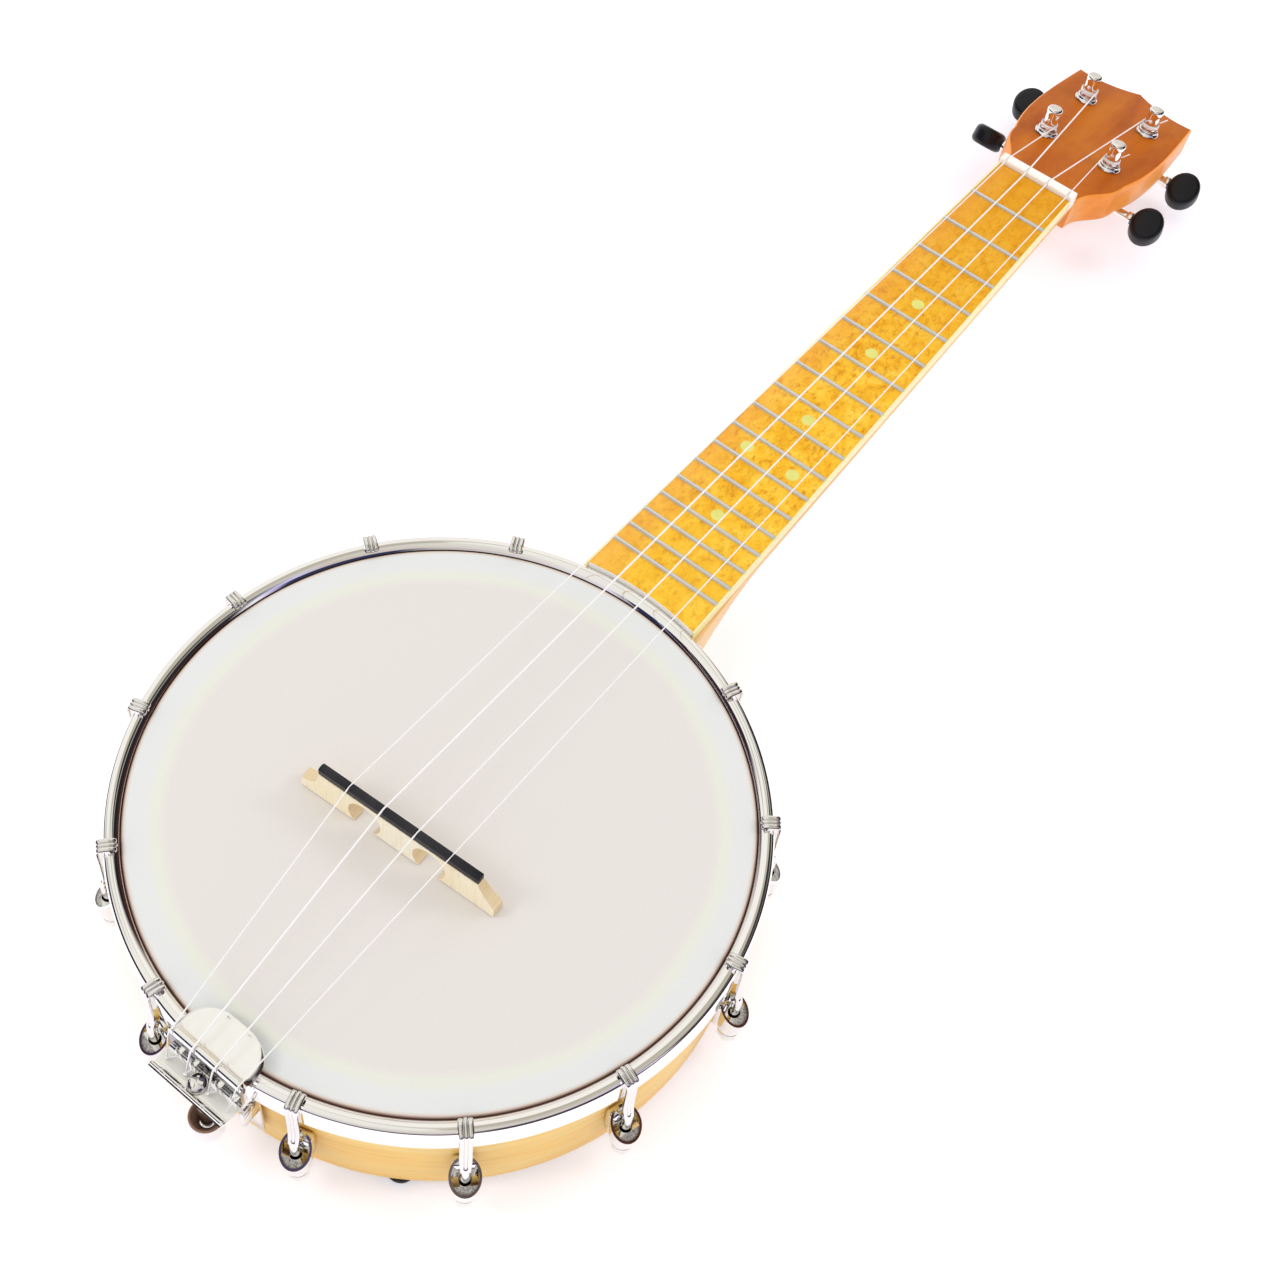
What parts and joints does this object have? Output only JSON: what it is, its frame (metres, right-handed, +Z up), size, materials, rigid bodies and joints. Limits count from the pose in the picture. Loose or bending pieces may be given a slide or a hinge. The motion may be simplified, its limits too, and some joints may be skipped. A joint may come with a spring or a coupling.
{
  "type": "banjo ukulele",
  "caption": "Banjo ukulele with a round wooden drum pot, chrome tension hoop on hooks and shoes, fretted neck, floating bridge and geared tuners.",
  "frame": {"origin": "bottom centre of the whole instrument's box, on the surface that its feet rest on", "axes": "+X along the strings from the tailpiece to the headstock, +Z up out of the drum head, +Y across the neck"},
  "size_m": [0.5766, 0.2154, 0.0739],
  "materials": {
    "rim_wood": "clear gloss lacquer over amber maple, grain round the ring",
    "neck_wood": "clear gloss lacquer over orange brown wood, grain along the neck",
    "fingerboard_wood": "satin amber yellow wood with fine orange brown flecks along the grain",
    "chrome": "bright polished chrome plating",
    "plain_steel": "satin nickel plated steel",
    "drum_film": "frosted white coated film",
    "nut_ivory": "polished ivory white plastic",
    "bridge_maple": "pale bare maple",
    "bridge_ebony": "dark oiled hardwood",
    "string_nylon": "translucent white nylon",
    "button_plastic": "black moulded plastic with a soft gloss",
    "foot_rubber": "matt black rubber"
  },
  "bodies": {
    "instrument": {"rim": "rim_wood", "tone_ring": "plain_steel", "drum_head": "drum_film", "tension_hoop": "chrome", "rubber_foot_1": "foot_rubber", "rubber_foot_2": "foot_rubber", "rubber_foot_3": "foot_rubber", "bracket_hook_01": "chrome", "bracket_shoe_01": "chrome", "bracket_hook_02": "chrome", "bracket_shoe_02": "chrome", "bracket_hook_03": "chrome", "bracket_shoe_03": "chrome", "bracket_hook_04": "chrome", "bracket_shoe_04": "chrome", "bracket_hook_05": "chrome", "bracket_shoe_05": "chrome", "bracket_hook_06": "chrome", "bracket_shoe_06": "chrome", "bracket_hook_07": "chrome", "bracket_shoe_07": "chrome", "bracket_hook_08": "chrome", "bracket_shoe_08": "chrome", "bracket_hook_09": "chrome", "bracket_shoe_09": "chrome", "bracket_hook_10": "chrome", "bracket_shoe_10": "chrome", "bracket_hook_11": "chrome", "bracket_shoe_11": "chrome", "bracket_hook_12": "chrome", "bracket_shoe_12": "chrome", "coordinator_rod": "plain_steel", "tailpiece_plate": "chrome", "tailpiece_bolt": "chrome", "tailpiece_bracket": "chrome", "bridge_body": "bridge_maple", "bridge_cap": "bridge_ebony", "tuner_1_housing": "chrome", "tuner_2_housing": "chrome", "tuner_3_housing": "chrome", "tuner_4_housing": "chrome", "neck": "neck_wood", "fingerboard": "fingerboard_wood", "string_nut": "nut_ivory", "string_1": "string_nylon", "string_2": "string_nylon", "string_3": "string_nylon", "string_4": "string_nylon"},
    "tuner_1_key": {"tuner_1_shaft": "chrome", "tuner_1_button": "button_plastic"},
    "tuner_1_peg": {"tuner_1_post": "chrome"},
    "tuner_2_key": {"tuner_2_shaft": "chrome", "tuner_2_button": "button_plastic"},
    "tuner_2_peg": {"tuner_2_post": "chrome"},
    "tuner_3_key": {"tuner_3_shaft": "chrome", "tuner_3_button": "button_plastic"},
    "tuner_3_peg": {"tuner_3_post": "chrome"},
    "tuner_4_key": {"tuner_4_shaft": "chrome", "tuner_4_button": "button_plastic"},
    "tuner_4_peg": {"tuner_4_post": "chrome"}
  },
  "joints": [
    {"name": "tuner_1_button_turn", "type": "hinge", "parent": "instrument", "child": "tuner_1_key", "pos_m": [0.22718, 0.0149, 0.02189], "axis": [0, 1, 0], "continuous": true},
    {"name": "tuner_1_post_turn", "type": "hinge", "parent": "instrument", "child": "tuner_1_peg", "pos_m": [0.22524, 0.0149, 0.04163], "axis": [0.2079, 0, 0.9781], "continuous": true},
    {"name": "tuner_2_button_turn", "type": "hinge", "parent": "instrument", "child": "tuner_2_key", "pos_m": [0.26484, 0.0149, 0.01389], "axis": [0, 1, 0], "continuous": true},
    {"name": "tuner_2_post_turn", "type": "hinge", "parent": "instrument", "child": "tuner_2_peg", "pos_m": [0.2629, 0.0149, 0.03362], "axis": [0.2079, 0, 0.9781], "continuous": true},
    {"name": "tuner_3_button_turn", "type": "hinge", "parent": "instrument", "child": "tuner_3_key", "pos_m": [0.22718, -0.0149, 0.02189], "axis": [0, -1, 0], "continuous": true},
    {"name": "tuner_3_post_turn", "type": "hinge", "parent": "instrument", "child": "tuner_3_peg", "pos_m": [0.22524, -0.0149, 0.04163], "axis": [0.2079, 0, 0.9781], "continuous": true},
    {"name": "tuner_4_button_turn", "type": "hinge", "parent": "instrument", "child": "tuner_4_key", "pos_m": [0.26484, -0.0149, 0.01389], "axis": [0, -1, 0], "continuous": true},
    {"name": "tuner_4_post_turn", "type": "hinge", "parent": "instrument", "child": "tuner_4_peg", "pos_m": [0.2629, -0.0149, 0.03362], "axis": [0.2079, 0, 0.9781], "continuous": true}
  ],
  "couplings": [
    {"joint": "tuner_1_post_turn", "follows": "tuner_1_button_turn", "ratio": 0.071429},
    {"joint": "tuner_2_post_turn", "follows": "tuner_2_button_turn", "ratio": 0.071429},
    {"joint": "tuner_3_post_turn", "follows": "tuner_3_button_turn", "ratio": 0.071429},
    {"joint": "tuner_4_post_turn", "follows": "tuner_4_button_turn", "ratio": 0.071429}
  ]
}
